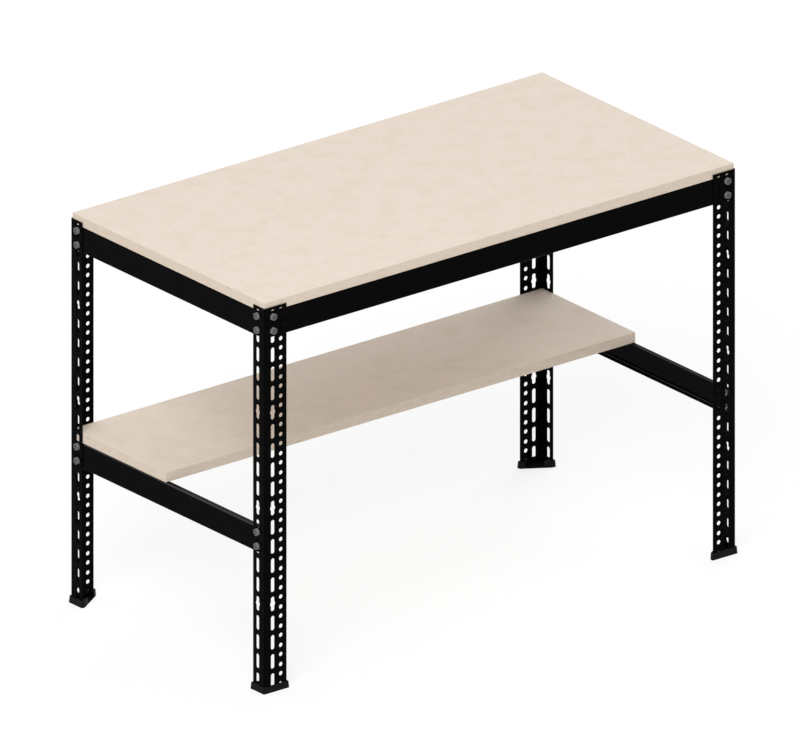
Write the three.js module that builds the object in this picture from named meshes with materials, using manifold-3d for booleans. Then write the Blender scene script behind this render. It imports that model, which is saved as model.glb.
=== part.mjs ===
// Assembly table of slotted angle: four punched angle uprights in plastic feet, channel beams
// bolted inside them, a board lying on the top beams and a half-depth shelf board at the back.
// Millimetres, +Z up, front towards -Y, origin on the floor under the middle of the frame.

import * as THREE from 'three';
import { mergeVertices } from 'three/addons/utils/BufferGeometryUtils.js';
import Module from 'manifold-3d';

// Frame, measured over the outer faces of the uprights
const FRAME_LENGTH = 1163;
const FRAME_WIDTH = 601.5;

// Steel sheet and the gap left between faces that touch on the real table
const STEEL = 1.5;
const SEAT = 0.3;

// Uprights: unequal angle, wide flange along X, narrow flange along Y
const UPRIGHT_LENGTH = 800;
const ANGLE_WIDE = 55;
const ANGLE_NARROW = 35;
const ANGLE_INNER_BEND = 0.5;

// Fasteners: hexagon bolt and nut
const BOLT_DIAMETER = 8;
const BOLT_CLEARANCE = 0.8;
const BOLT_TAIL = 3;
const HEX_FLATS = 13;
const HEAD_HEIGHT = 5.3;
const NUT_HEIGHT = 6.5;
const NUT_CLEARANCE = 0.5;

// Punching of the uprights: a row of slots on both flanges, a row of holes on the wide one
const SLOT_PITCH = 40;
const SLOT_LENGTH = 30;
const SLOT_LINE = 21;
const HOLE_EDGE = 14;
const HOLE_OFFSET = 10.5;
const KEY_DIAMETER = 12.7;
const KEY_EVERY = 5;

// Beams: channel with the web outside and both flanges turned inwards
const BEAM_FLANGE = 11;
const BEAM_INNER_BEND = 1.5;
const BEAM_LOWER_MARGIN = 14.6;
const BEAM_CORNER_GAP = 0.5;

// The shelf beams hang with their lower bolt in the middle of this slot, counted from the top
const SHELF_SLOT_INDEX = 12;

// Boards
const BOARD_THICKNESS = 21;
const BOARD_EASE = 1;
const BOARD_END_CLEARANCE = 0.3;
const BOARD_SIDE_CLEARANCE = 1.2;
const SHELF_DEPTH = 290;

// Feet: a boot with a floor, outer walls that flare downwards, and a wedge at each tip
const FOOT_HEIGHT = 14;
const FOOT_BASE = 2;
const FOOT_WALL = 2.5;
const FOOT_FLARE = 1;
const FOOT_CLEARANCE = 0.3;
const FOOT_TIP = 6;

// How far a cutter reaches past the face that it opens
const CUT_OVER = 1;
const BEND_SEGMENTS = 1;
const HEX_SIDES = 6;
const OCTAGON_SIDES = 8;

// Sizes that follow from the ones above
const PUNCH_WIDTH = BOLT_DIAMETER + BOLT_CLEARANCE;
const HOLE_LINE = ANGLE_WIDE - HOLE_EDGE;
const SLOT_COUNT = Math.floor(UPRIGHT_LENGTH / SLOT_PITCH);
const FIRST_SLOT = (UPRIGHT_LENGTH - (SLOT_COUNT - 1) * SLOT_PITCH) / 2;
const BOLT_SPACING = SLOT_PITCH - (SLOT_LENGTH - PUNCH_WIDTH) / 2;
const BOLT_DROP = STEEL + BEAM_INNER_BEND + NUT_CLEARANCE + HEX_FLATS / 2;
const BEAM_HEIGHT = BOLT_DROP + BOLT_SPACING + BEAM_LOWER_MARGIN;
const BEAM_INSET = STEEL + SEAT;
const BEAM_SETBACK = BEAM_INSET + BEAM_FLANGE + BEAM_CORNER_GAP;
const NUT_SEAT = BEAM_INSET + STEEL + SEAT;
const BOLT_LENGTH = NUT_SEAT + NUT_HEIGHT + BOLT_TAIL;
const UPRIGHT_BASE = FOOT_BASE + SEAT;
const UPRIGHT_TOP = UPRIGHT_BASE + UPRIGHT_LENGTH;
const TOP_BOLT_LEVEL = UPRIGHT_TOP - slotDepth(0);
const SHELF_BOLT_LEVEL = UPRIGHT_TOP - slotDepth(SHELF_SLOT_INDEX) + BOLT_SPACING;
const BOARD_LENGTH = FRAME_LENGTH - 2 * (STEEL + BOARD_END_CLEARANCE);
const TOP_WIDTH = FRAME_WIDTH - 2 * (STEEL + BOARD_SIDE_CLEARANCE);

const wasm = await Module();
wasm.setup();

const blackSteel = new THREE.MeshStandardMaterial({
  name: 'black_steel', color: 0x101011, roughness: 0.45, metalness: 0.1, flatShading: true,
});
const paleBoard = new THREE.MeshStandardMaterial({
  name: 'pale_board', color: 0xe8dbcd, roughness: 0.8, metalness: 0, flatShading: true,
});
const zincSteel = new THREE.MeshStandardMaterial({
  name: 'zinc_steel', color: 0x8a8c90, roughness: 0.4, metalness: 0.9, flatShading: true,
});
const blackPlastic = new THREE.MeshStandardMaterial({
  name: 'black_plastic', color: 0x1a1a1c, roughness: 0.6, metalness: 0, flatShading: true,
});

/** Depth of a slot's middle below the upright's end; the pattern is the same from either end. */
function slotDepth(index) {
  return FIRST_SLOT + index * SLOT_PITCH;
}

/** Closed solid of a geometry, with its shared corners merged. */
function solidOf(geometry) {
  const bare = geometry.clone();
  bare.deleteAttribute('normal');
  bare.deleteAttribute('uv');
  const merged = mergeVertices(bare);
  return new wasm.Manifold(new wasm.Mesh({
    numProp: 3,
    vertProperties: merged.attributes.position.array,
    triVerts: new Uint32Array(merged.index.array),
  }));
}

/** Geometry of a solid. */
function geometryOf(solid) {
  const mesh = solid.getMesh();
  const geometry = new THREE.BufferGeometry();
  geometry.setAttribute('position', new THREE.BufferAttribute(mesh.vertProperties, 3));
  geometry.setIndex(new THREE.BufferAttribute(mesh.triVerts, 1));
  return geometry;
}

/** Prism of a shape, from the plane of the shape upwards. */
function prism(shape, depth) {
  return new THREE.ExtrudeGeometry(shape, {
    depth, bevelEnabled: false, curveSegments: BEND_SEGMENTS,
  });
}

/** Outline of a punch with round ends, drawn with flats that just clear the true outline. */
function punchShape(width, length, sides) {
  const radius = width / 2 / Math.cos(Math.PI / sides);
  const reach = (length - width) / 2;
  const points = [];
  for (let i = 0; i < sides; i += 1) {
    const angle = (i + 0.5) * 2 * Math.PI / sides;
    const end = Math.sin(angle) > 0 ? reach : -reach;
    points.push(new THREE.Vector2(radius * Math.cos(angle), radius * Math.sin(angle) + end));
  }
  return new THREE.Shape(points);
}

/** Cutter for a sheet that lies between y = 0 and y = STEEL. */
function sheetCutter(shape, x, z) {
  const cutter = prism(shape, STEEL + 2 * CUT_OVER);
  cutter.rotateX(Math.PI / 2);
  cutter.translate(x, STEEL + CUT_OVER, z);
  return cutter;
}

/** The same cutter, turned for a sheet between x = 0 and x = STEEL. */
function turnedCutter(shape, y, z) {
  const cutter = sheetCutter(shape, y, z);
  cutter.rotateZ(Math.PI / 2);
  cutter.translate(STEEL, 0, 0);
  return cutter;
}

/** Section of the bent angle: outer corner at the origin, wide flange along x, narrow along y. */
function angleShape() {
  const outerBend = ANGLE_INNER_BEND + STEEL;
  const shape = new THREE.Shape();
  shape.moveTo(0, ANGLE_NARROW);
  shape.lineTo(0, outerBend);
  shape.absarc(outerBend, outerBend, outerBend, Math.PI, 1.5 * Math.PI, false);
  shape.lineTo(ANGLE_WIDE, 0);
  shape.lineTo(ANGLE_WIDE, STEEL);
  shape.lineTo(outerBend, STEEL);
  shape.absarc(outerBend, outerBend, ANGLE_INNER_BEND, 1.5 * Math.PI, Math.PI, true);
  shape.lineTo(STEEL, ANGLE_NARROW);
  return shape;
}

/** One upright standing on z = 0, with its first key slot at the top end. */
function uprightGeometry() {
  const slot = punchShape(PUNCH_WIDTH, SLOT_LENGTH, OCTAGON_SIDES);
  const key = punchShape(KEY_DIAMETER, KEY_DIAMETER, OCTAGON_SIDES);
  const hole = punchShape(PUNCH_WIDTH, PUNCH_WIDTH, HEX_SIDES);
  let solid = solidOf(prism(angleShape(), UPRIGHT_LENGTH));
  for (let i = 0; i < SLOT_COUNT; i += 1) {
    const z = UPRIGHT_LENGTH - slotDepth(i);
    const cutters = [
      sheetCutter(slot, SLOT_LINE, z),
      turnedCutter(slot, SLOT_LINE, z),
      sheetCutter(hole, HOLE_LINE, z - HOLE_OFFSET),
      sheetCutter(hole, HOLE_LINE, z + HOLE_OFFSET),
    ];
    if (i % KEY_EVERY === 0) {
      cutters.push(sheetCutter(key, SLOT_LINE, z), turnedCutter(key, SLOT_LINE, z));
    }
    for (const cutter of cutters) solid = solid.subtract(solidOf(cutter));
  }
  return geometryOf(solid);
}

/** Section of a beam: outer face of the web on x = 0, flanges along x, lower edge on y = 0. */
function channelShape() {
  const outerBend = BEAM_INNER_BEND + STEEL;
  const upperBend = BEAM_HEIGHT - outerBend;
  const quarter = Math.PI / 2;
  const shape = new THREE.Shape();
  shape.moveTo(BEAM_FLANGE, 0);
  shape.lineTo(BEAM_FLANGE, STEEL);
  shape.lineTo(outerBend, STEEL);
  shape.absarc(outerBend, outerBend, BEAM_INNER_BEND, 3 * quarter, 2 * quarter, true);
  shape.lineTo(STEEL, upperBend);
  shape.absarc(outerBend, upperBend, BEAM_INNER_BEND, 2 * quarter, quarter, true);
  shape.lineTo(BEAM_FLANGE, BEAM_HEIGHT - STEEL);
  shape.lineTo(BEAM_FLANGE, BEAM_HEIGHT);
  shape.lineTo(outerBend, BEAM_HEIGHT);
  shape.absarc(outerBend, upperBend, outerBend, quarter, 2 * quarter, false);
  shape.lineTo(0, outerBend);
  shape.absarc(outerBend, outerBend, outerBend, 2 * quarter, 3 * quarter, false);
  return shape;
}

/** A beam along x between two uprights that stand run apart, its web on y = 0 to y = STEEL. */
function beamGeometry(run) {
  const length = run - 2 * BEAM_SETBACK;
  const bar = prism(channelShape(), length);
  const alongX = new THREE.Matrix4().makeBasis(
    new THREE.Vector3(0, 1, 0),
    new THREE.Vector3(0, 0, 1),
    new THREE.Vector3(1, 0, 0),
  );
  bar.applyMatrix4(alongX);
  bar.translate(-length / 2, 0, 0);
  const hole = punchShape(PUNCH_WIDTH, PUNCH_WIDTH, HEX_SIDES);
  const reach = run / 2 - SLOT_LINE;
  let solid = solidOf(bar);
  for (const x of [-reach, reach]) {
    for (const z of [BEAM_LOWER_MARGIN, BEAM_LOWER_MARGIN + BOLT_SPACING]) {
      solid = solid.subtract(solidOf(sheetCutter(hole, x, z)));
    }
  }
  return geometryOf(solid);
}

/** A six-sided bar along y between two places, with corners up and down unless it is turned. */
function hexBar(flats, from, to, turn = 0) {
  const bar = prism(punchShape(flats, flats, HEX_SIDES), to - from);
  bar.rotateZ(turn);
  bar.rotateX(Math.PI / 2);
  bar.translate(0, to, 0);
  return solidOf(bar);
}

/** A bolt along y whose head seats on y = 0 from outside, with its nut run up behind the beam. */
function boltGeometry() {
  const shankFlats = BOLT_DIAMETER * Math.cos(Math.PI / HEX_SIDES);
  const head = hexBar(HEX_FLATS, -SEAT - HEAD_HEIGHT, -SEAT);
  const shank = hexBar(shankFlats, -SEAT - HEAD_HEIGHT / 2, BOLT_LENGTH);
  const nut = hexBar(HEX_FLATS, NUT_SEAT, NUT_SEAT + NUT_HEIGHT, Math.PI / HEX_SIDES);
  return geometryOf(head.add(shank).add(nut));
}

/** A board with eased edges, its middle at the origin and its lower face on z = 0. */
function boardGeometry(length, width) {
  const x = length / 2 - BOARD_EASE;
  const y = width / 2 - BOARD_EASE;
  const outline = new THREE.Shape([
    new THREE.Vector2(-x, -y),
    new THREE.Vector2(x, -y),
    new THREE.Vector2(x, y),
    new THREE.Vector2(-x, y),
  ]);
  const board = new THREE.ExtrudeGeometry(outline, {
    depth: BOARD_THICKNESS - 2 * BOARD_EASE,
    bevelSize: BOARD_EASE,
    bevelThickness: BOARD_EASE,
    bevelSegments: 1,
  });
  board.translate(0, 0, BOARD_EASE);
  return board;
}

/** Plan of a foot: square to both flanges outside, cut across on the inside. */
function footPlan(spread) {
  const outside = -FOOT_CLEARANCE - FOOT_WALL - spread;
  const inside = STEEL + FOOT_CLEARANCE + FOOT_WALL;
  return [
    new THREE.Vector2(outside, outside),
    new THREE.Vector2(ANGLE_WIDE - outside, outside),
    new THREE.Vector2(ANGLE_WIDE - outside, inside),
    new THREE.Vector2(inside, ANGLE_NARROW - outside),
    new THREE.Vector2(outside, ANGLE_NARROW - outside),
  ];
}

/** A foot on z = 0 under an upright whose outer corner is at the origin. */
function footGeometry() {
  const rim = footPlan(0);
  const floor = footPlan(FOOT_FLARE);
  const boot = prism(new THREE.Shape(rim), FOOT_HEIGHT);
  const position = boot.attributes.position;
  for (let i = 0; i < position.count; i += 1) {
    if (position.getZ(i) > 0) continue;
    const corner = rim.findIndex((point) =>
      point.distanceTo(new THREE.Vector2(position.getX(i), position.getY(i))) < FOOT_WALL / 2);
    position.setXY(i, floor[corner].x, floor[corner].y);
  }
  const near = -FOOT_CLEARANCE;
  const far = STEEL + FOOT_CLEARANCE;
  const socket = new THREE.Shape([
    new THREE.Vector2(near, near),
    new THREE.Vector2(ANGLE_WIDE - near, near),
    new THREE.Vector2(ANGLE_WIDE - near, far),
    new THREE.Vector2(ANGLE_WIDE - FOOT_TIP, far),
    new THREE.Vector2(ANGLE_WIDE - FOOT_TIP, ANGLE_NARROW - FOOT_TIP),
    new THREE.Vector2(far, ANGLE_NARROW - FOOT_TIP),
    new THREE.Vector2(far, ANGLE_NARROW - near),
    new THREE.Vector2(near, ANGLE_NARROW - near),
  ]);
  const well = prism(socket, FOOT_HEIGHT);
  well.translate(0, 0, FOOT_BASE);
  return geometryOf(solidOf(boot).subtract(solidOf(well)));
}

/** A named piece. */
function piece(name, geometry, material) {
  const mesh = new THREE.Mesh(geometry, material);
  mesh.name = name;
  return mesh;
}

/** The four uprights and their feet; two of the uprights are the same bar stood on its head. */
function corners() {
  const group = new THREE.Group();
  const upright = uprightGeometry();
  const foot = footGeometry();
  for (const [depth, sideY] of [['front', -1], ['back', 1]]) {
    for (const [hand, sideX] of [['left', -1], ['right', 1]]) {
      const upended = sideX * sideY < 0;
      const x = sideX * FRAME_LENGTH / 2;
      const y = sideY * FRAME_WIDTH / 2;
      const post = piece(`upright_${depth}_${hand}`, upright, blackSteel);
      post.position.set(x, y, upended ? UPRIGHT_TOP : UPRIGHT_BASE);
      if (upended && sideX > 0) post.rotation.y = Math.PI;
      if (upended && sideX < 0) post.rotation.x = Math.PI;
      if (!upended && sideX > 0) post.rotation.z = Math.PI;
      const boot = piece(`foot_${depth}_${hand}`, foot, blackPlastic);
      boot.position.set(x, y, 0);
      boot.scale.set(-sideX, -sideY, 1);
      group.add(post, boot);
    }
  }
  return group;
}

/** One beam with the two bolts at each of its ends, on a side that faces -y. */
function beamWithBolts(level, side, boltLevel) {
  const group = new THREE.Group();
  const beam = piece(`${level}_beam_${side.name}`, beamGeometry(side.run), blackSteel);
  beam.position.set(0, BEAM_INSET - side.out, boltLevel + BOLT_DROP - BEAM_HEIGHT);
  group.add(beam);
  const bolt = boltGeometry();
  side.ends.forEach((end, i) => {
    const x = (i === 0 ? -1 : 1) * (side.run / 2 - SLOT_LINE);
    for (const [row, z] of [['upper', boltLevel], ['lower', boltLevel - BOLT_SPACING]]) {
      const fastener = piece(`bolt_${level}_${side.name}_${end}_${row}`, bolt, zincSteel);
      fastener.position.set(x, -side.out, z);
      group.add(fastener);
    }
  });
  return group;
}

/** The beams of all four sides, and the shelf beams at the two ends of the table. */
function beams() {
  const long = { run: FRAME_LENGTH, out: FRAME_WIDTH / 2 };
  const short = { run: FRAME_WIDTH, out: FRAME_LENGTH / 2, shelf: true };
  const sides = [
    { ...long, name: 'front', turn: 0, ends: ['left', 'right'] },
    { ...short, name: 'right', turn: Math.PI / 2, ends: ['front', 'back'] },
    { ...long, name: 'back', turn: Math.PI, ends: ['right', 'left'] },
    { ...short, name: 'left', turn: -Math.PI / 2, ends: ['back', 'front'] },
  ];
  const group = new THREE.Group();
  for (const side of sides) {
    const face = new THREE.Group();
    face.rotation.z = side.turn;
    face.add(beamWithBolts('top', side, TOP_BOLT_LEVEL));
    if (side.shelf) face.add(beamWithBolts('shelf', side, SHELF_BOLT_LEVEL));
    group.add(face);
  }
  return group;
}

/** The table top and the shelf, each lying on the flanges of its beams. */
function boards() {
  const top = piece('table_top', boardGeometry(BOARD_LENGTH, TOP_WIDTH), paleBoard);
  top.position.z = TOP_BOLT_LEVEL + BOLT_DROP + SEAT;
  const shelf = piece('shelf_board', boardGeometry(BOARD_LENGTH, SHELF_DEPTH), paleBoard);
  shelf.position.y = (TOP_WIDTH - SHELF_DEPTH) / 2;
  shelf.position.z = SHELF_BOLT_LEVEL + BOLT_DROP + SEAT;
  const group = new THREE.Group();
  group.add(top, shelf);
  return group;
}

const table = new THREE.Group();
table.name = 'assembly_table';
table.add(corners(), beams(), boards());

export default table;
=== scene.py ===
"""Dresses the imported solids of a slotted-angle assembly table.

Lengths are in metres, in the frame of the solids: +X runs along the table, +Y from the open
front to the shelf side, and +Z up from the floor.
"""

import logging
import math
from abc import ABC, abstractmethod
from dataclasses import dataclass
from enum import Enum, IntEnum
from typing import Any, Iterable

import bmesh
import bpy
from mathutils import Matrix, Vector


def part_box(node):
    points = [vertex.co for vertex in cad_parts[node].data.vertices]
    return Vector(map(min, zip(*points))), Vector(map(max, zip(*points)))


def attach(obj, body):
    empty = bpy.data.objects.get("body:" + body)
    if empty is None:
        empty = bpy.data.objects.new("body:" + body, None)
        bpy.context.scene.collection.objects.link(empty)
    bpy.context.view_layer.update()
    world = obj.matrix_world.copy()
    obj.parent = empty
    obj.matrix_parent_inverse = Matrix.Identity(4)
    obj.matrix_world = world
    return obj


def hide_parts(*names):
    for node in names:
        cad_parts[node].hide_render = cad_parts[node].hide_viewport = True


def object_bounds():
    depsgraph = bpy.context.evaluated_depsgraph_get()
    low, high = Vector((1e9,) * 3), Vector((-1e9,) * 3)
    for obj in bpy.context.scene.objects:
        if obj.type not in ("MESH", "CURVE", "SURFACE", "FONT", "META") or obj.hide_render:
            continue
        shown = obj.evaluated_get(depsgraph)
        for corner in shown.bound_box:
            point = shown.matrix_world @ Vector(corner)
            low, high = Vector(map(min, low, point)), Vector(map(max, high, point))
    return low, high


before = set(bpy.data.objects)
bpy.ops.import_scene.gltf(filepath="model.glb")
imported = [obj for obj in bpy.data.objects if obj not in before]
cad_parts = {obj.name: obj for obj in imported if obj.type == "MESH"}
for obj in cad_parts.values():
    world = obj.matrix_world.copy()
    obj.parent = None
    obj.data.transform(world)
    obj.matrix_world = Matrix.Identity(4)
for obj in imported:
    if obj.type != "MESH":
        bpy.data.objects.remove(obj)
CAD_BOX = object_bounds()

Colour = tuple[float, float, float, float]
Stretch = tuple[float, float, float]
Band = tuple[float, float]
# Lowest roughness of a finish, and how far its pattern raises that.
Gloss = tuple[float, float]

MM = 0.001
QUARTER_TURN = 0.5 * math.pi
HEXAGON_SECTOR = math.pi / 3
BODY = "root"
SHARP_ANGLE = math.radians(32)
CUT_ANGLE = math.radians(60)
MERGE_DISTANCE = 0.002 * MM
SAME_PLACE = 0.01 * MM
WHITE: Colour = (1.0, 1.0, 1.0, 1.0)
EVEN: Stretch = (1.0, 1.0, 1.0)

# A Mix node's sockets for colours share their names with its others, so they go by index.
MIX_FACTOR, MIX_FIRST, MIX_SECOND, MIX_RESULT = 0, 6, 7, 2

log = logging.getLogger("assembly_table")


class Slot(Enum):
    """Material slots of the record."""

    STEEL = "black_steel"
    BOARD = "pale_board"
    ZINC = "zinc_steel"
    PLASTIC = "black_plastic"


class Axis(IntEnum):
    """Axes of the frame, as places in a vector."""

    X = 0
    Y = 1
    Z = 2


class Side(Enum):
    """Sides of the table, with the turn that takes a front piece there."""

    FRONT = 0.0
    RIGHT = QUARTER_TURN
    BACK = math.pi
    LEFT = 1.5 * math.pi

    @property
    def label(self) -> str:
        """The side's name in the names of nodes."""
        return self.name.lower()

    @property
    def turn(self) -> Matrix:
        """Rotation about the vertical that faces a front piece to this side."""
        return Matrix.Rotation(self.value, 4, "Z")

    @property
    def along(self) -> Axis:
        """Axis that a beam on this side runs along."""
        return Axis.X if self in (Side.FRONT, Side.BACK) else Axis.Y

    @property
    def across(self) -> Axis:
        """Level axis at right angles to a beam on this side."""
        return Axis.Y if self.along is Axis.X else Axis.X

    @property
    def ends(self) -> tuple[str, str]:
        """Names of the two ends of a beam on this side."""
        return ("left", "right") if self.along is Axis.X else ("front", "back")


class Level(Enum):
    """Levels of the frame that have beams."""

    TOP = "top"
    SHELF = "shelf"

    @property
    def sides(self) -> tuple[Side, ...]:
        """Sides that have a beam at this level."""
        return tuple(Side) if self is Level.TOP else (Side.RIGHT, Side.LEFT)


class Corner(Enum):
    """Corners of the frame, with the axis of the half turn that brings the first bar there."""

    FRONT_LEFT = ""
    FRONT_RIGHT = "Y"
    BACK_LEFT = "X"
    BACK_RIGHT = "Z"

    @property
    def label(self) -> str:
        """The corner's name in the names of nodes."""
        return self.name.lower()

    @property
    def turn(self) -> Matrix:
        """Half turn that brings the front left bar to this corner, or no turn."""
        return Matrix.Rotation(math.pi, 4, self.value) if self.value else Matrix.Identity(4)


def srgb(red: float, green: float, blue: float) -> Colour:
    """Converts a colour as seen on screen to linear light.

    Args:
        red: Red from 0 to 255.
        green: Green from 0 to 255.
        blue: Blue from 0 to 255.

    Returns:
        Linear red, green, blue and an alpha of one.
    """
    linear = []
    for value in (red / 255, green / 255, blue / 255):
        linear.append(value / 12.92 if value <= 0.04045 else ((value + 0.055) / 1.055) ** 2.4)
    return linear[0], linear[1], linear[2], 1.0


class Wire:
    """A shader socket that takes part in Python sums and products."""

    def __init__(self, recipe: "Recipe", socket: bpy.types.NodeSocket | None) -> None:
        """Wraps one output socket of a recipe's node."""
        self.recipe = recipe
        self.socket = socket

    def _math(self, operation: str, first: Any, second: Any) -> "Wire":
        """Adds one Math node on two values."""
        values = {0: first, 1: second}
        return self.recipe.node("ShaderNodeMath", {"operation": operation}, values)

    def __add__(self, other: Any) -> "Wire":
        """Sum of this socket and another value."""
        return self._math("ADD", self, other)

    def __radd__(self, other: Any) -> "Wire":
        """Sum of a number and this socket."""
        return self._math("ADD", other, self)

    def __sub__(self, other: Any) -> "Wire":
        """Difference of this socket and another value."""
        return self._math("SUBTRACT", self, other)

    def __rsub__(self, other: Any) -> "Wire":
        """Difference of a number and this socket."""
        return self._math("SUBTRACT", other, self)

    def __mul__(self, other: Any) -> "Wire":
        """Product of this socket and another value."""
        return self._math("MULTIPLY", self, other)

    def __rmul__(self, other: Any) -> "Wire":
        """Product of a number and this socket."""
        return self._math("MULTIPLY", other, self)


class Recipe:
    """Node tree of one material, or of the world."""

    def __init__(self, tree: bpy.types.NodeTree) -> None:
        """Empties the tree, so that only this recipe's nodes are in it."""
        self.tree = tree
        tree.nodes.clear()

    def node(
        self,
        kind: str,
        settings: dict[str, Any] | None = None,
        values: dict[Any, Any] | None = None,
        output: int | str = 0,
    ) -> Wire:
        """Adds a node.

        Args:
            kind: Type name of the node.
            settings: Properties of the node, set before its sockets.
            values: Numbers, colours or wires by socket name or index.
            output: Name or index of the output that is returned.

        Returns:
            The chosen output.
        """
        made = self.tree.nodes.new(kind)
        for name, value in (settings or {}).items():
            setattr(made, name, value)
        for key, value in (values or {}).items():
            if isinstance(value, Wire):
                self.tree.links.new(value.socket, made.inputs[key])
            else:
                made.inputs[key].default_value = value
        return Wire(self, made.outputs[output] if made.outputs else None)

    def place(self, stretch: Stretch = EVEN) -> Wire:
        """Object coordinates, scaled along each axis by stretch."""
        spot = self.node("ShaderNodeTexCoord", output="Object")
        return self.node("ShaderNodeMapping", values={"Vector": spot, "Scale": stretch})

    def noise(
        self,
        grain: float,
        detail: float = 2.0,
        rough: float = 0.5,
        stretch: Stretch = EVEN,
    ) -> Wire:
        """Smooth noise from 0 to 1.

        Args:
            grain: Size of one patch.
            detail: Octaves of finer noise.
            rough: Share of each finer octave.
            stretch: Scale of the coordinates along each axis.

        Returns:
            The noise value.
        """
        values = {
            "Vector": self.place(stretch),
            "Scale": 1 / grain,
            "Detail": detail,
            "Roughness": rough,
        }
        return self.node("ShaderNodeTexNoise", values=values)

    def ramp(self, value: Wire, band: Band) -> Wire:
        """Rises smoothly from 0 at the lower end of a band to 1 at its upper end."""
        values = {"Value": value, "From Min": band[0], "From Max": band[1]}
        return self.node("ShaderNodeMapRange", {"interpolation_type": "SMOOTHSTEP"}, values)

    def mix(self, mask: Wire, first: Any, second: Any) -> Wire:
        """Colour that goes from first to second as the mask rises from 0 to 1."""
        values = {MIX_FACTOR: mask, MIX_FIRST: first, MIX_SECOND: second}
        return self.node("ShaderNodeMix", {"data_type": "RGBA"}, values, MIX_RESULT)

    def bump(self, height: Wire, strength: float, depth: float) -> Wire:
        """Normal of a surface with fine relief of that depth."""
        values = {"Height": height, "Strength": strength, "Distance": depth}
        return self.node("ShaderNodeBump", values=values)

    def axis(self, vector: Wire, name: str) -> Wire:
        """One component of a vector, X, Y or Z."""
        return self.node("ShaderNodeSeparateXYZ", values={"Vector": vector}, output=name)

    def surface(self, values: dict[str, Any]) -> None:
        """Ends a material in one Principled shader with these socket values."""
        shader = self.node("ShaderNodeBsdfPrincipled", values=values)
        self.node("ShaderNodeOutputMaterial", values={"Surface": shader})

    def seen_directly(self) -> Wire:
        """Mask of the rays that show the backdrop: camera, mirror and see-through rays.

        Returns:
            One for those rays and zero for all others.
        """
        kinds = ("Is Camera Ray", "Is Glossy Ray", "Is Transmission Ray")
        rays = [self.node("ShaderNodeLightPath", output=kind) for kind in kinds]
        return self.ramp(rays[0] + rays[1] + rays[2], (0.0, 1.0))


class Finish(ABC):
    """A surface finish that makes its material once."""

    @abstractmethod
    def paint(self, recipe: Recipe) -> None:
        """Adds the finish's nodes to a recipe."""

    def material(self) -> bpy.types.Material:
        """Makes the finish's material on first use.

        Returns:
            The material, named for the finish.
        """
        name = type(self).__name__
        found = bpy.data.materials.get(name)
        if found is None:
            found = bpy.data.materials.new(name)
            found.use_nodes = True
            self.paint(Recipe(found.node_tree))
        return found


@dataclass(frozen=True)
class PowderCoat(Finish):
    """Black satin powder coat: fine orange peel, faint dust and uneven gloss."""

    coat: Colour = srgb(6, 6, 6)
    dusty: Colour = srgb(24, 24, 25)
    peel: float = 1.1 * MM
    peel_depth: float = 0.05 * MM
    peel_strength: float = 0.25
    cloud: float = 60 * MM
    cloud_band: Band = (0.4, 0.7)
    speck: float = 2.2 * MM
    speck_band: Band = (0.56, 0.72)
    mirror: float = 0.014
    gloss: Gloss = (0.08, 0.1)
    dust_roughness: float = 0.1

    def paint(self, recipe: Recipe) -> None:
        """Adds the coat's nodes.

        Args:
            recipe: Node tree of the material.
        """
        cloud = recipe.noise(self.cloud, detail=4.0, rough=0.6)
        specks = recipe.noise(self.speck, detail=3.0, rough=0.6)
        dust = recipe.ramp(specks, self.speck_band) * recipe.ramp(cloud, self.cloud_band)
        relief = recipe.noise(self.peel)
        low, spread = self.gloss
        recipe.surface(
            {
                "Base Color": recipe.mix(dust, self.coat, self.dusty),
                "Roughness": low + spread * cloud + self.dust_roughness * dust,
                "Specular IOR Level": self.mirror,
                "Normal": recipe.bump(relief, self.peel_strength, self.peel_depth),
            }
        )


@dataclass(frozen=True)
class SmoothBend(PowderCoat):
    """Powder coat that flowed smooth over a bend, where it catches more light."""

    mirror: float = 0.5
    gloss: Gloss = (0.14, 0.1)


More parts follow.
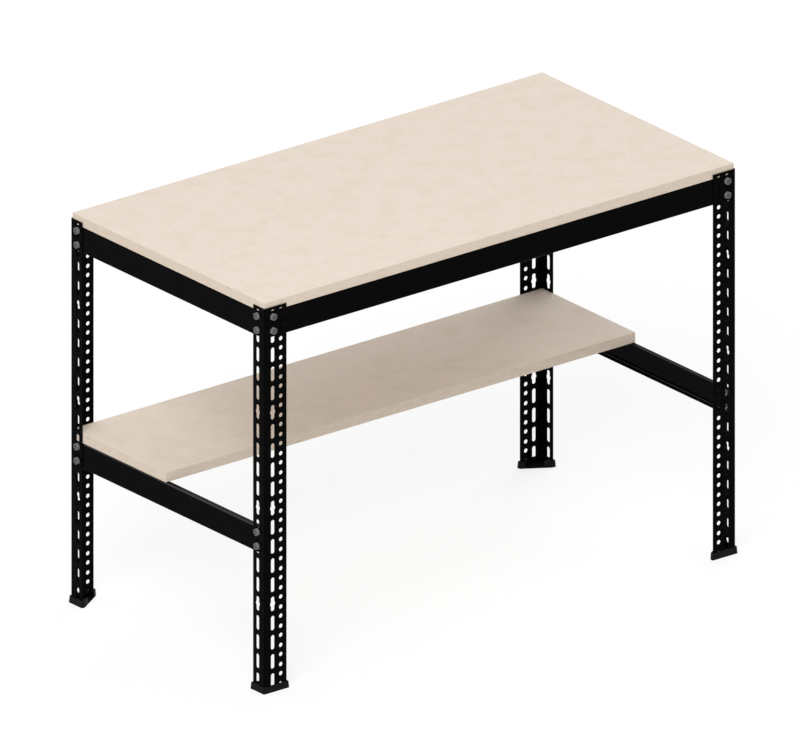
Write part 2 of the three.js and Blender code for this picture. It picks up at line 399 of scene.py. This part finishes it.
@dataclass(frozen=True)
class Fibreboard(Finish):
    """Pale sanded fibreboard: soft blotches and short wisps, with darker sawn edges."""

    face: Colour = srgb(231, 217, 204)
    blotch: Colour = srgb(225, 212, 195)
    wisp: Colour = srgb(237, 226, 215)
    edge: Colour = srgb(226, 211, 195)
    edge_dark: Colour = srgb(212, 195, 176)
    blotch_size: float = 48 * MM
    blotch_band: Band = (0.42, 0.72)
    wisp_size: float = 14 * MM
    wisp_stretch: Stretch = (0.6, 1.0, 1.0)
    wisp_band: Band = (0.56, 0.74)
    wisp_share: float = 0.7
    fibre: float = 0.8 * MM
    layer: float = 1.6 * MM
    layer_stretch: Stretch = (0.08, 0.08, 1.0)
    layer_share: float = 0.6
    speck: float = 1.3 * MM
    edge_band: Band = (0.4, 0.66)
    flat_band: Band = (0.35, 0.75)
    mirror: float = 0.3
    gloss: Gloss = (0.66, 0.16)
    edge_roughness: float = 0.08
    relief_share: float = 0.5
    relief_strength: float = 0.3
    relief_depth: float = 0.12 * MM

    def paint(self, recipe: Recipe) -> None:
        """Adds the board's nodes.

        Args:
            recipe: Node tree of the material.
        """
        blotches = recipe.noise(self.blotch_size, detail=5.0, rough=0.62)
        wisps = recipe.noise(self.wisp_size, detail=4.0, rough=0.65, stretch=self.wisp_stretch)
        wisps = recipe.ramp(wisps, self.wisp_band) * self.wisp_share
        face = recipe.mix(recipe.ramp(blotches, self.blotch_band), self.face, self.blotch)
        face = recipe.mix(wisps, face, self.wisp)
        layers = recipe.noise(self.layer, detail=3.0, rough=0.6, stretch=self.layer_stretch)
        specks = recipe.noise(self.speck, detail=2.0, rough=0.6)
        streaks = layers * self.layer_share + specks * (1 - self.layer_share)
        edge = recipe.mix(recipe.ramp(streaks, self.edge_band), self.edge, self.edge_dark)
        normal = recipe.node("ShaderNodeNewGeometry", output="Normal")
        upward = recipe.axis(normal, "Z")
        flat = recipe.ramp(upward * upward, self.flat_band)
        fibre = recipe.noise(self.fibre, detail=3.0, rough=0.6)
        fuzz = recipe.noise(self.fibre, detail=2.0, rough=0.6)
        relief = fuzz * self.relief_share + layers * (1 - flat) * (1 - self.relief_share)
        low, spread = self.gloss
        recipe.surface(
            {
                "Base Color": recipe.mix(flat, edge, face),
                "Roughness": low + spread * fibre + self.edge_roughness * (1 - flat),
                "Specular IOR Level": self.mirror,
                "Normal": recipe.bump(relief, self.relief_strength, self.relief_depth),
            }
        )


@dataclass(frozen=True)
class ZincPlate(Finish):
    """Dull zinc-plated steel with a faint crystalline mottle."""

    bright: Colour = srgb(148, 149, 152)
    dull: Colour = srgb(114, 115, 117)
    spangle: float = 2.4 * MM
    spangle_band: Band = (0.35, 0.65)
    metal: float = 0.25
    gloss: Gloss = (0.38, 0.2)
    scratch: float = 0.5 * MM
    scratch_strength: float = 0.12
    scratch_depth: float = 0.03 * MM

    def paint(self, recipe: Recipe) -> None:
        """Adds the plating's nodes.

        Args:
            recipe: Node tree of the material.
        """
        mottle = recipe.noise(self.spangle, detail=4.0, rough=0.65)
        dullness = recipe.ramp(mottle, self.spangle_band)
        scratches = recipe.noise(self.scratch)
        low, spread = self.gloss
        recipe.surface(
            {
                "Base Color": recipe.mix(dullness, self.bright, self.dull),
                "Metallic": self.metal,
                "Roughness": low + spread * mottle,
                "Normal": recipe.bump(scratches, self.scratch_strength, self.scratch_depth),
            }
        )


@dataclass(frozen=True)
class ForgedZinc(ZincPlate):
    """Zinc on the outer face of a bolt head, darker than on its flats: painted shade on that
    face.
    """

    # Painted shade: these darker tones make the head's face read darker than its brighter
    # flats.
    bright: Colour = srgb(84, 85, 88)
    dull: Colour = srgb(66, 67, 69)


@dataclass(frozen=True)
class MouldedPlastic(Finish):
    """Black moulded plastic with a coarse stipple that catches the light, and painted
    highlights: light grey specks on the stipple's peaks, in patches.
    """

    body: Colour = srgb(8, 8, 9)
    # Painted highlight: light grey for glints on the stipple's peaks.
    rubbed: Colour = srgb(62, 62, 63)
    stipple: float = 1.6 * MM
    stipple_band: Band = (0.54, 0.72)
    stipple_strength: float = 0.5
    stipple_depth: float = 0.25 * MM
    # Size and band of the patches where the painted glints show.
    wear: float = 9 * MM
    wear_band: Band = (0.4, 0.65)
    mirror: float = 0.08
    gloss: Gloss = (0.5, 0.15)

    def paint(self, recipe: Recipe) -> None:
        """Adds the plastic's nodes.

        Args:
            recipe: Node tree of the material.
        """
        grain = recipe.noise(self.stipple, detail=3.0, rough=0.6)
        wear = recipe.noise(self.wear, detail=3.0)
        # Painted highlights: the stipple's peaks, in patches, lightened as glints.
        glint_mask = recipe.ramp(grain, self.stipple_band) * recipe.ramp(wear, self.wear_band)
        low, spread = self.gloss
        recipe.surface(
            {
                "Base Color": recipe.mix(glint_mask, self.body, self.rubbed),
                "Roughness": low + spread * grain,
                "Specular IOR Level": self.mirror,
                "Normal": recipe.bump(grain, self.stipple_strength, self.stipple_depth),
            }
        )


@dataclass(frozen=True)
class PaleFloor(Finish):
    """Pale floor that shows as white and keeps a soft shadow."""

    grey: Colour = (0.8, 0.8, 0.8, 1.0)
    shaded: Colour = (0.3, 0.3, 0.3, 1.0)
    glow: float = 0.74

    def paint(self, recipe: Recipe) -> None:
        """Adds the floor's nodes.

        Args:
            recipe: Node tree of the material.
        """
        plain = recipe.node("ShaderNodeBsdfDiffuse", values={"Color": self.grey})
        shaded = recipe.node("ShaderNodeBsdfDiffuse", values={"Color": self.shaded})
        lit = recipe.node("ShaderNodeEmission", values={"Strength": self.glow})
        shown = recipe.node("ShaderNodeAddShader", values={0: shaded, 1: lit})
        mask = recipe.seen_directly()
        shader = recipe.node("ShaderNodeMixShader", values={0: mask, 1: plain, 2: shown})
        recipe.node("ShaderNodeOutputMaterial", values={"Surface": shader})


def span(node: str) -> tuple[Vector, Vector, Vector]:
    """Lowest corner, highest corner and middle of a node's box."""
    low, high = (Vector(corner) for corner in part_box(node))
    return low, high, (low + high) / 2


def sharp_edges(
    shape: bmesh.types.BMesh, angle: float = SHARP_ANGLE
) -> list[bmesh.types.BMEdge]:
    """Edges between two faces that meet at more than an angle."""
    return [e for e in shape.edges if len(e.link_faces) == 2 and e.calc_face_angle() > angle]


def ease(
    shape: bmesh.types.BMesh,
    edges: Iterable[bmesh.types.BMEdge],
    radius: float,
    segments: int = 2,
) -> None:
    """Rounds edges.

    Args:
        shape: Mesh that holds the edges.
        edges: Edges to round.
        radius: Distance of the rounding from each edge.
        segments: Number of strips across the rounding.
    """
    bmesh.ops.bevel(
        shape,
        geom=list(edges),
        offset=radius,
        offset_type="OFFSET",
        segments=segments,
        profile=0.5,
        affect="EDGES",
        clamp_overlap=True,
        material=-1,
    )


def make_piece(
    name: str,
    shape: bmesh.types.BMesh,
    finishes: tuple[Finish, ...],
    node: str | None,
) -> None:
    """Turns a finished mesh into a piece of the object.

    Args:
        name: Name of the new piece.
        shape: Mesh in its place; it is freed.
        finishes: Finishes that the material index of each face counts through.
        node: Node that the piece stands for, if any.
    """
    mesh = bpy.data.meshes.new(name)
    shape.to_mesh(mesh)
    shape.free()
    mesh.shade_smooth()
    mesh.set_sharp_from_angle(angle=SHARP_ANGLE)
    for finish in finishes:
        mesh.materials.append(finish.material())
    piece = bpy.data.objects.new(name, mesh)
    bpy.context.scene.collection.objects.link(piece)
    flat = piece.modifiers.new("flat_faces", "WEIGHTED_NORMAL")
    flat.keep_sharp = True
    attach(piece, BODY)
    if node is not None:
        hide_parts(node)
    log.info("%s: %d faces", name, len(mesh.polygons))


@dataclass
class PunchedSheet:
    """Flat sheet in the XZ plane that faces -Y, with openings punched through it."""

    low_x: float
    high_x: float
    low_z: float
    high_z: float
    arc_sides: int = 24
    key_cuts: int = 11

    def __post_init__(self) -> None:
        """Starts from the sheet's four corners."""
        self.shape = bmesh.new()
        spots = (
            (self.low_x, self.low_z),
            (self.high_x, self.low_z),
            (self.high_x, self.high_z),
            (self.low_x, self.high_z),
        )
        corners = [self.shape.verts.new((x, 0.0, z)) for x, z in spots]
        for first, second in zip(corners, corners[1:] + corners[:1]):
            self.shape.edges.new((first, second))

    def punch(self, x: float, z: float, width: float, length: float, key: float = 0.0) -> None:
        """Outlines a round hole or an upright slot, widened in the middle by a key hole.

        Args:
            x: Middle of the opening across the sheet.
            z: Middle of the opening along the sheet.
            width: Width between the flats.
            length: Length over the round ends; a round hole has the width again.
            key: Diameter of the key hole, or zero.
        """
        step = math.pi / self.arc_sides
        place = Matrix.Translation((x, 0.0, z)) @ Matrix.Rotation(step, 4, "Y")
        ring = bmesh.ops.create_circle(
            self.shape,
            segments=self.arc_sides,
            radius=0.5 * width / math.cos(step),
            matrix=place @ Matrix.Rotation(QUARTER_TURN, 4, "X"),
        )["verts"]
        reach = Vector((0.0, 0.0, 0.5 * (length - width)))
        upper = [v for v in ring if v.co.z > z]
        lower = [v for v in ring if v.co.z < z]
        bmesh.ops.translate(self.shape, verts=upper, vec=reach)
        bmesh.ops.translate(self.shape, verts=lower, vec=-reach)
        if key:
            sides = [e for v in upper for e in v.link_edges if e.other_vert(v) in lower]
            for side in sides:
                self._widen(side, x, z, 0.5 * width, 0.5 * key)

    def _widen(
        self, side: bmesh.types.BMEdge, x: float, z: float, inner: float, radius: float
    ) -> None:
        """Bows one straight side of a slot out into its key hole.

        Args:
            side: Straight side of the slot.
            x: Middle of the slot across the sheet.
            z: Middle of the slot along the sheet.
            inner: Distance of the straight side from the middle.
            radius: Radius of the key hole.
        """
        outward = 1.0 if side.verts[0].co.x > x else -1.0
        made = bmesh.ops.subdivide_edges(self.shape, edges=[side], cuts=self.key_cuts)
        inside = [v for v in made["geom_inner"] if isinstance(v, bmesh.types.BMVert)]
        inside.sort(key=lambda v: v.co.z)
        limit = math.acos(inner / radius)
        for index, vert in enumerate(inside):
            angle = limit * (2 * index / (self.key_cuts - 1) - 1)
            vert.co.x = x + outward * radius * math.cos(angle)
            vert.co.z = z + radius * math.sin(angle)

    def fill(self) -> bmesh.types.BMesh:
        """Closes the sheet between its outline and its openings."""
        bmesh.ops.triangle_fill(
            self.shape, use_beauty=True, edges=self.shape.edges[:], normal=(0.0, -1.0, 0.0)
        )
        return self.shape

    def border(self, axis: Axis, level: float) -> list[bmesh.types.BMEdge]:
        """Finds the border of the sheet that lies at one level along an axis.

        Args:
            axis: Axis that the level is measured along.
            level: Place of the border on that axis.

        Returns:
            The edges found.
        """
        found = []
        for edge in self.shape.edges:
            if all(abs(v.co[axis] - level) < SAME_PLACE for v in edge.verts):
                found.append(edge)
        return found


def fold(
    shape: bmesh.types.BMesh,
    edges: list[bmesh.types.BMEdge],
    centre: tuple[float, float, float],
    axis: tuple[float, float, float],
    angle: float,
    steps: int,
) -> list[bmesh.types.BMEdge]:
    """Bends a sheet on past one of its borders.

    Args:
        shape: Mesh of the sheet.
        edges: Border that the bend starts from.
        centre: A point on the axis of the bend.
        axis: Direction of that axis.
        angle: Turn of the bend.
        steps: Strips across the bend.

    Returns:
        The border at the end of the bend.
    """
    ends = dict.fromkeys(v for e in edges for v in e.verts)
    made = bmesh.ops.spin(
        shape,
        geom=[*edges, *ends],
        cent=centre,
        axis=axis,
        angle=angle,
        steps=steps,
        use_merge=False,
    )
    return [g for g in made["geom_last"] if isinstance(g, bmesh.types.BMEdge)]


def thicken(shape: bmesh.types.BMesh, steel: float, rim: float) -> None:
    """Gives an outer skin its wall and rounds the cut edges.

    Args:
        shape: Skin whose faces are the outer faces, the one on the XZ plane among them.
        steel: Thickness of the wall.
        rim: Radius along all cut edges.
    """
    bmesh.ops.remove_doubles(shape, verts=shape.verts[:], dist=MERGE_DISTANCE)
    bmesh.ops.recalc_face_normals(shape, faces=shape.faces[:])
    front = next(f for f in shape.faces if all(abs(v.co.y) < SAME_PLACE for v in f.verts))
    if front.normal.y > 0:
        bmesh.ops.reverse_faces(shape, faces=shape.faces[:])
    bmesh.ops.solidify(shape, geom=shape.faces[:], thickness=steel)
    ease(shape, sharp_edges(shape, CUT_ANGLE), rim)


@dataclass
class SlottedAngles:
    """The four uprights: one punched angle bar, turned to each corner."""

    steel: float = 1.5 * MM
    bend: float = 2.0 * MM
    rim: float = 0.2 * MM
    bend_steps: int = 6
    punch_width: float = 8.8 * MM
    slot_length: float = 30 * MM
    slot_pitch: float = 40 * MM
    slot_line: float = 21 * MM
    hole_edge: float = 14 * MM
    hole_offset: float = 10.5 * MM
    key_width: float = 12.7 * MM
    key_every: int = 5
    finish: Finish = PowderCoat()

    def __post_init__(self) -> None:
        """Takes the bar's outline and place from the front left node."""
        self.low, self.high, _ = span("upright_front_left")
        self.length = self.high.z - self.low.z
        self.wide = self.high.x - self.low.x
        self.narrow = self.high.y - self.low.y

    def slot_levels(self) -> list[float]:
        """Heights of the slots' middles above the bar's lower end, from the top down."""
        count = round(self.length / self.slot_pitch)
        return [self.length - (i + 0.5) * self.slot_pitch for i in range(count)]

    def flange(self, width: float, holes: bool) -> PunchedSheet:
        """One flange beside the bend.

        Args:
            width: Width of the flange from the bar's corner.
            holes: Whether it has the row of round holes.

        Returns:
            The filled sheet.
        """
        sheet = PunchedSheet(self.bend, width, 0.0, self.length)
        for index, level in enumerate(self.slot_levels()):
            key = 0.0 if index % self.key_every else self.key_width
            sheet.punch(self.slot_line, level, self.punch_width, self.slot_length, key)
            if holes:
                for offset in (-self.hole_offset, self.hole_offset):
                    size = self.punch_width
                    sheet.punch(width - self.hole_edge, level + offset, size, size)
        sheet.fill()
        return sheet

    def bar(self) -> bmesh.types.BMesh:
        """Folds the two flanges into one bar with its corner on the Z axis.

        Returns:
            The bar's mesh.
        """
        wide = self.flange(self.wide, holes=True)
        centre = (self.bend, self.bend, 0.0)
        corner = wide.border(Axis.X, self.bend)
        fold(wide.shape, corner, centre, (0.0, 0.0, 1.0), -QUARTER_TURN, self.bend_steps)
        narrow = self.flange(self.narrow, holes=False).shape
        turn = Matrix.Rotation(QUARTER_TURN, 4, "Z")
        bmesh.ops.transform(narrow, matrix=turn, verts=narrow.verts[:])
        part = bpy.data.meshes.new("narrow_flange")
        narrow.to_mesh(part)
        narrow.free()
        wide.shape.from_mesh(part)
        bpy.data.meshes.remove(part)
        thicken(wide.shape, self.steel, self.rim)
        return wide.shape

    def build(self) -> None:
        """Makes the four uprights."""
        middle = Matrix.Translation((0.0, 0.0, 0.5 * (self.low.z + self.high.z)))
        bar = self.bar()
        bmesh.ops.translate(bar, verts=bar.verts[:], vec=self.low)
        for corner in Corner:
            shape = bar.copy()
            place = middle @ corner.turn @ middle.inverted()
            bmesh.ops.transform(shape, matrix=place, verts=shape.verts[:])
            name, node = f"punched_angle_{corner.label}", f"upright_{corner.label}"
            make_piece(name, shape, (self.finish,), node)
        bar.free()


@dataclass
class ChannelBeams:
    """The six beams: shallow channels with rounded bends, open towards the inside."""

    steel: float = 1.5 * MM
    bend: float = 3.0 * MM
    rim: float = 0.25 * MM
    bend_steps: int = 8
    hole_width: float = 8.8 * MM
    tilt: float = 0.1
    finish: Finish = PowderCoat()
    open_bend: Finish = SmoothBend()

    def beam(self, node: str, side: Side, bolts: list[str]) -> bmesh.types.BMesh:
        """One beam in its place.

        Args:
            node: Node that gives the beam's box.
            side: Side of the table it is on.
            bolts: Nodes of the bolts through its web.

        Returns:
            The beam's mesh.
        """
        low, high, middle = span(node)
        half = 0.5 * (high[side.along] - low[side.along])
        reach = high[side.across] - low[side.across]
        height = high.z - low.z
        outer = side.turn @ Vector((0.0, -0.5 * reach, 0.0))
        place = Matrix.Translation((middle.x + outer.x, middle.y + outer.y, low.z)) @ side.turn
        web = PunchedSheet(-half, half, self.bend, height - self.bend)
        for bolt in bolts:
            spot = place.inverted() @ span(bolt)[2]
            web.punch(spot.x, spot.z, self.hole_width, self.hole_width)
        shape = web.fill()
        self.add_flange(web, height - self.bend, -QUARTER_TURN, reach)
        self.add_flange(web, self.bend, QUARTER_TURN, reach)
        thicken(shape, self.steel, self.rim)
        self.mark_bends(shape)
        bmesh.ops.transform(shape, matrix=place, verts=shape.verts[:])
        return shape

    def add_flange(self, web: PunchedSheet, level: float, turn: float, reach: float) -> None:
        """Bends a filled web on into one of its flanges.

        Args:
            web: Web of the beam.
            level: Height of the border that the bend starts from.
            turn: Angle of the bend.
            reach: Depth of the beam over its flanges.
        """
        centre = (0.0, self.bend, level)
        border = web.border(Axis.Z, level)
        end = fold(web.shape, border, centre, (1.0, 0.0, 0.0), turn, self.bend_steps)
        grown = bmesh.ops.extrude_edge_only(web.shape, edges=end)["geom"]
        lip = [g for g in grown if isinstance(g, bmesh.types.BMVert)]
        bmesh.ops.translate(web.shape, verts=lip, vec=(0.0, reach - self.bend, 0.0))

    def mark_bends(self, shape: bmesh.types.BMesh) -> None:
        """Puts the faces of the bends that look upward on the second finish.

        Args:
            shape: Beam along X, before it is put in its place.
        """
        for face in shape.faces:
            along, across, rise = face.normal
            bent = abs(along) < self.tilt and abs(across) > self.tilt and rise > self.tilt
            face.material_index = int(bent)

    def build(self) -> None:
        """Makes all six beams."""
        for level in Level:
            bends = self.open_bend if level is Level.SHELF else self.finish
            for side in level.sides:
                node = f"{level.value}_beam_{side.label}"
                shape = self.beam(node, side, HexFasteners.nodes(level, side))
                name = f"channel_{level.value}_{side.label}"
                make_piece(name, shape, (self.finish, bends), node)


@dataclass(frozen=True)
class Ring:
    """One ring of a turned body: a circle, or a hexagon whose corners a chamfer moves."""

    level: float
    circle: float | None = None
    chamfer: float = 0.0


@dataclass
class HexFasteners:
    """The bolts through each beam end, and the nuts behind them."""

    across_flats: float = 13 * MM
    face_radius: float = 6.2 * MM
    dish_radius: float = 3.6 * MM
    head_height: float = 5.3 * MM
    nut_start: float = 9.2 * MM
    nut_height: float = 6.5 * MM
    shank: float = 7.8 * MM
    pitch: float = 1.25 * MM
    thread_depth: float = 0.6 * MM
    root_share: float = 0.35
    crest_share: float = 0.85
    sides: int = 36
    angle_slack: float = 1e-6
    chamfer_angle: float = math.radians(30)
    dish_depth: float = 0.7 * MM
    dish_floor: float = 0.8
    finish: Finish = ZincPlate()
    # Finish with painted shade for the outer face of each bolt head.
    face_finish: Finish = ForgedZinc()

    @staticmethod
    def nodes(level: Level, side: Side) -> list[str]:
        """Names of the bolt nodes of one beam."""
        spots = [(end, row) for end in side.ends for row in ("upper", "lower")]
        return [f"bolt_{level.value}_{side.label}_{end}_{row}" for end, row in spots]

    def outline(self, ring: Ring, angle: float) -> tuple[float, float]:
        """Finds where a ring lies in one direction from the axis.

        Args:
            ring: A circle or a hexagon.
            angle: Direction, counted from a corner of the hexagon.

        Returns:
            Radius and level of the ring there.
        """
        if ring.circle is not None:
            return ring.circle, ring.level
        sector = math.floor(angle / HEXAGON_SECTOR + self.angle_slack)
        offset = angle - HEXAGON_SECTOR * sector
        radius = 0.5 * self.across_flats / math.cos(offset - 0.5 * HEXAGON_SECTOR)
        drop = (radius - self.face_radius) * math.tan(self.chamfer_angle)
        return radius, ring.level + ring.chamfer * drop

    def skin(self, rings: list[Ring], turn: float) -> bmesh.types.BMesh:
        """Closed body along +Y over a row of rings.

        Args:
            rings: Rings from the outer end on; the first is a circle.
            turn: Turn of the hexagons about the axis; at zero their corners are up and down.

        Returns:
            The body's mesh.
        """
        shape = bmesh.new()
        upright = Matrix.Rotation(QUARTER_TURN, 4, "X")
        place = Matrix.Translation((0.0, rings[0].level, 0.0)) @ upright
        row = bmesh.ops.create_circle(
            shape, cap_ends=True, segments=self.sides, radius=rings[0].circle, matrix=place
        )["verts"]
        edges = [e for e in shape.edges if all(v in row for v in e.verts)]
        for ring in rings[1:]:
            grown = bmesh.ops.extrude_edge_only(shape, edges=edges)["geom"]
            row = [g for g in grown if isinstance(g, bmesh.types.BMVert)]
            edges = [g for g in grown if isinstance(g, bmesh.types.BMEdge)]
            edges = [e for e in edges if all(v in row for v in e.verts)]
            for vert in row:
                reach = math.hypot(vert.co.x, vert.co.z)
                radius, level = self.outline(ring, math.atan2(vert.co.x, vert.co.z) - turn)
                vert.co = (vert.co.x * radius / reach, level, vert.co.z * radius / reach)
        bmesh.ops.edgeloop_fill(shape, edges=edges)
        bmesh.ops.recalc_face_normals(shape, faces=shape.faces[:])
        return shape

    def bolt(self, length: float) -> bmesh.types.BMesh:
        """A bolt along +Y with the outer face of its head on the XZ plane.

        Args:
            length: Length over head and shank.

        Returns:
            The bolt's mesh, with the face of the head on its second finish, which paints shade
            on it.
        """
        crest = 0.5 * self.shank
        root = crest - self.thread_depth
        start = self.nut_start + self.nut_height - self.pitch
        rings = [
            Ring(self.dish_depth, self.dish_floor * self.dish_radius),
            Ring(0.0, self.dish_radius),
            Ring(0.0, self.face_radius),
            Ring(0.0, chamfer=1.0),
            Ring(self.head_height),
            Ring(self.head_height, crest),
            Ring(start, crest),
        ]
        for index in range(int((length - start) / self.pitch)):
            level = start + index * self.pitch
            rings.append(Ring(level + self.root_share * self.pitch, root))
            rings.append(Ring(level + self.crest_share * self.pitch, crest))
        rings += [Ring(length - self.thread_depth, crest), Ring(length, root)]
        shape = self.skin(rings, 0.0)
        # Faces on the head's outer face take the second finish, its painted shade.
        for face in shape.faces:
            spot = face.calc_center_median()
            outside = spot.y < self.dish_depth + MERGE_DISTANCE
            face.material_index = int(outside and math.hypot(spot.x, spot.z) < self.face_radius)
        return shape

    def nut(self) -> bmesh.types.BMesh:
        """A nut in its place along the bolt, with flats up and down.

        Returns:
            The nut's mesh.
        """
        end = self.nut_start + self.nut_height
        rings = [
            Ring(self.nut_start, self.face_radius),
            Ring(self.nut_start, chamfer=1.0),
            Ring(end, chamfer=-1.0),
            Ring(end, self.face_radius),
        ]
        return self.skin(rings, 0.5 * HEXAGON_SECTOR)

    def fastener(self, node: str, side: Side) -> None:
        """Makes the bolt and the nut of one node.

        Args:
            node: Node of the bolt.
            side: Side of the table that its head faces.
        """
        low, high, middle = span(node)
        length = high[side.across] - low[side.across]
        outer = side.turn @ Vector((0.0, -0.5 * length, 0.0))
        place = Matrix.Translation(middle + outer) @ side.turn
        tail = node.removeprefix("bolt_")
        bolt = self.bolt(length)
        bmesh.ops.transform(bolt, matrix=place, verts=bolt.verts[:])
        make_piece(f"hex_bolt_{tail}", bolt, (self.finish, self.face_finish), node)
        nut = self.nut()
        bmesh.ops.transform(nut, matrix=place, verts=nut.verts[:])
        make_piece(f"hex_nut_{tail}", nut, (self.finish,), None)

    def build(self) -> None:
        """Makes every bolt and nut."""
        for level in Level:
            for side in level.sides:
                for node in self.nodes(level, side):
                    self.fastener(node, side)


@dataclass
class MouldedFeet:
    """The four boots under the uprights, with moulded corners."""

    corner: float = 3.4 * MM
    tip: float = 0.9 * MM
    rim: float = 0.3 * MM
    corner_steps: int = 4
    flat_angle: float = math.radians(1)
    standing_share: float = 0.9
    finish: Finish = MouldedPlastic()

    def boot(self, node: str) -> bmesh.types.BMesh:
        """One boot: its solid with rounded corners and rims.

        Args:
            node: Node of the boot.

        Returns:
            The rounded mesh.
        """
        shape = bmesh.new()
        shape.from_mesh(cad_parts[node].data)
        bmesh.ops.remove_doubles(shape, verts=shape.verts[:], dist=MERGE_DISTANCE)
        bmesh.ops.dissolve_limit(
            shape, angle_limit=self.flat_angle, verts=shape.verts[:], edges=shape.edges[:]
        )
        low, high, _ = span(node)
        standing = []
        for edge in sharp_edges(shape):
            rise = abs(edge.verts[0].co.z - edge.verts[1].co.z)
            if rise > self.standing_share * (high.z - low.z):
                standing.append(edge)
        standing.sort(key=lambda edge: edge.verts[0].co.xy.length, reverse=True)
        outer, tips = standing[:1], standing[1:]
        ease(shape, tips, self.tip, self.corner_steps)
        ease(shape, outer, self.corner, self.corner_steps)
        ease(shape, sharp_edges(shape), self.rim)
        return shape

    def build(self) -> None:
        """Makes the four boots."""
        for corner in Corner:
            name, node = f"boot_{corner.label}", f"foot_{corner.label}"
            make_piece(name, self.boot(node), (self.finish,), node)


@dataclass
class LooseBoards:
    """The table top and the shelf: sawn boards with lightly eased edges."""

    easing: float = 1.0 * MM
    easing_steps: int = 3
    finish: Finish = Fibreboard()

    def build(self) -> None:
        """Makes both boards."""
        for name, node in (("board_top", "table_top"), ("board_shelf", "shelf_board")):
            low, high, middle = span(node)
            shape = bmesh.new()
            size = Matrix.Diagonal((*(high - low), 1.0))
            bmesh.ops.create_cube(shape, size=1.0, matrix=Matrix.Translation(middle) @ size)
            ease(shape, shape.edges[:], self.easing, self.easing_steps)
            make_piece(name, shape, (self.finish,), node)


@dataclass(frozen=True)
class SoftBox:
    """A square lamp that faces the table."""

    name: str
    azimuth: float
    elevation: float
    distance: float
    size: float
    power: float

    def build(self, target: Vector) -> None:
        """Hangs the lamp so that it faces a target.

        Args:
            target: Point that the lamp's middle looks at.
        """
        lamp = bpy.data.lights.new(self.name, "AREA")
        lamp.shape = "SQUARE"
        lamp.size = self.size
        lamp.energy = self.power
        away = view_direction(self.azimuth, self.elevation)
        holder = bpy.data.objects.new(self.name, lamp)
        holder.location = target + self.distance * away
        holder.rotation_euler = away.to_track_quat("Z", "Y").to_euler()
        bpy.context.scene.collection.objects.link(holder)


def view_direction(azimuth: float, elevation: float) -> Vector:
    """Direction from the table to a viewer.

    Args:
        azimuth: Degrees round the vertical; 0 is in front and 90 on the right.
        elevation: Degrees above the horizon.

    Returns:
        A unit vector.
    """
    around, above = math.radians(azimuth), math.radians(elevation)
    flat = math.cos(above)
    return Vector((flat * math.sin(around), -flat * math.cos(around), math.sin(above)))


@dataclass
class Studio:
    """Floor, lamps, sky and camera."""

    image: tuple[int, int] = (800, 736)
    azimuth: float = -38.44
    elevation: float = 22.13
    pixels_per_metre: float = 517.22
    anchor_pixel: tuple[float, float] = (264.32, 309.5)
    camera_distance: float = 6.0
    camera_range: float = 24.0
    floor_size: float = 30.0
    floor_level: float = -0.1 * MM
    sky: float = 0.53
    lamps: tuple[SoftBox, ...] = (
        SoftBox("key_lamp", -50.0, 41.0, 9.0, 5.0, 444.0),
        SoftBox("fill_lamp", 115.0, 40.0, 9.0, 5.0, 180.0),
        SoftBox("rim_lamp", 142.0, 22.0, 9.0, 2.2, 7.0),
    )

    def build(self) -> None:
        """Sets the whole studio."""
        self.lay_floor()
        self.light_sky()
        low, high = (Vector(corner) for corner in CAD_BOX)
        for lamp in self.lamps:
            lamp.build((low + high) / 2)
        self.set_camera()
        bpy.context.scene.view_settings.view_transform = "Standard"

    def lay_floor(self) -> None:
        """Lays the floor under the boots."""
        shape = bmesh.new()
        place = Matrix.Translation((0.0, 0.0, self.floor_level))
        bmesh.ops.create_grid(
            shape, x_segments=1, y_segments=1, size=0.5 * self.floor_size, matrix=place
        )
        mesh = bpy.data.meshes.new("studio_floor")
        shape.to_mesh(mesh)
        shape.free()
        mesh.materials.append(PaleFloor().material())
        floor = bpy.data.objects.new("studio_floor", mesh)
        bpy.context.scene.collection.objects.link(floor)

    def light_sky(self) -> None:
        """Lights the scene from all round, and shows the sky as white."""
        world = bpy.data.worlds.new("studio_sky")
        bpy.context.scene.world = world
        world.use_nodes = True
        recipe = Recipe(world.node_tree)
        mask = recipe.seen_directly()
        strength = self.sky + (1.0 - self.sky) * mask
        shader = recipe.node(
            "ShaderNodeBackground", values={"Color": WHITE, "Strength": strength}
        )
        recipe.node("ShaderNodeOutputWorld", values={"Surface": shader})

    def set_camera(self) -> None:
        """Aims a parallel camera so that the front left upright's top falls on its pixel."""
        data = bpy.data.cameras.new("photo_camera")
        data.type = "ORTHO"
        data.ortho_scale = self.image[0] / self.pixels_per_metre
        data.clip_end = self.camera_range
        camera = bpy.data.objects.new("photo_camera", data)
        toward = view_direction(self.azimuth, self.elevation)
        turn = toward.to_track_quat("Z", "Y")
        right, up = turn @ Vector((1.0, 0.0, 0.0)), turn @ Vector((0.0, 1.0, 0.0))
        low, high, _ = span("upright_front_left")
        anchor = Vector((low.x, low.y, high.z))
        across = (0.5 * self.image[0] - self.anchor_pixel[0]) / self.pixels_per_metre
        down = (0.5 * self.image[1] - self.anchor_pixel[1]) / self.pixels_per_metre
        camera.location = anchor + across * right - down * up + self.camera_distance * toward
        camera.rotation_euler = turn.to_euler()
        bpy.context.scene.collection.objects.link(camera)
        bpy.context.scene.camera = camera


def main() -> None:
    """Builds every sub-assembly and the studio."""
    logging.basicConfig(level=logging.INFO, format="%(message)s")
    SlottedAngles().build()
    ChannelBeams().build()
    HexFasteners().build()
    MouldedFeet().build()
    LooseBoards().build()
    Studio().build()


if __name__ == "__main__":
    main()
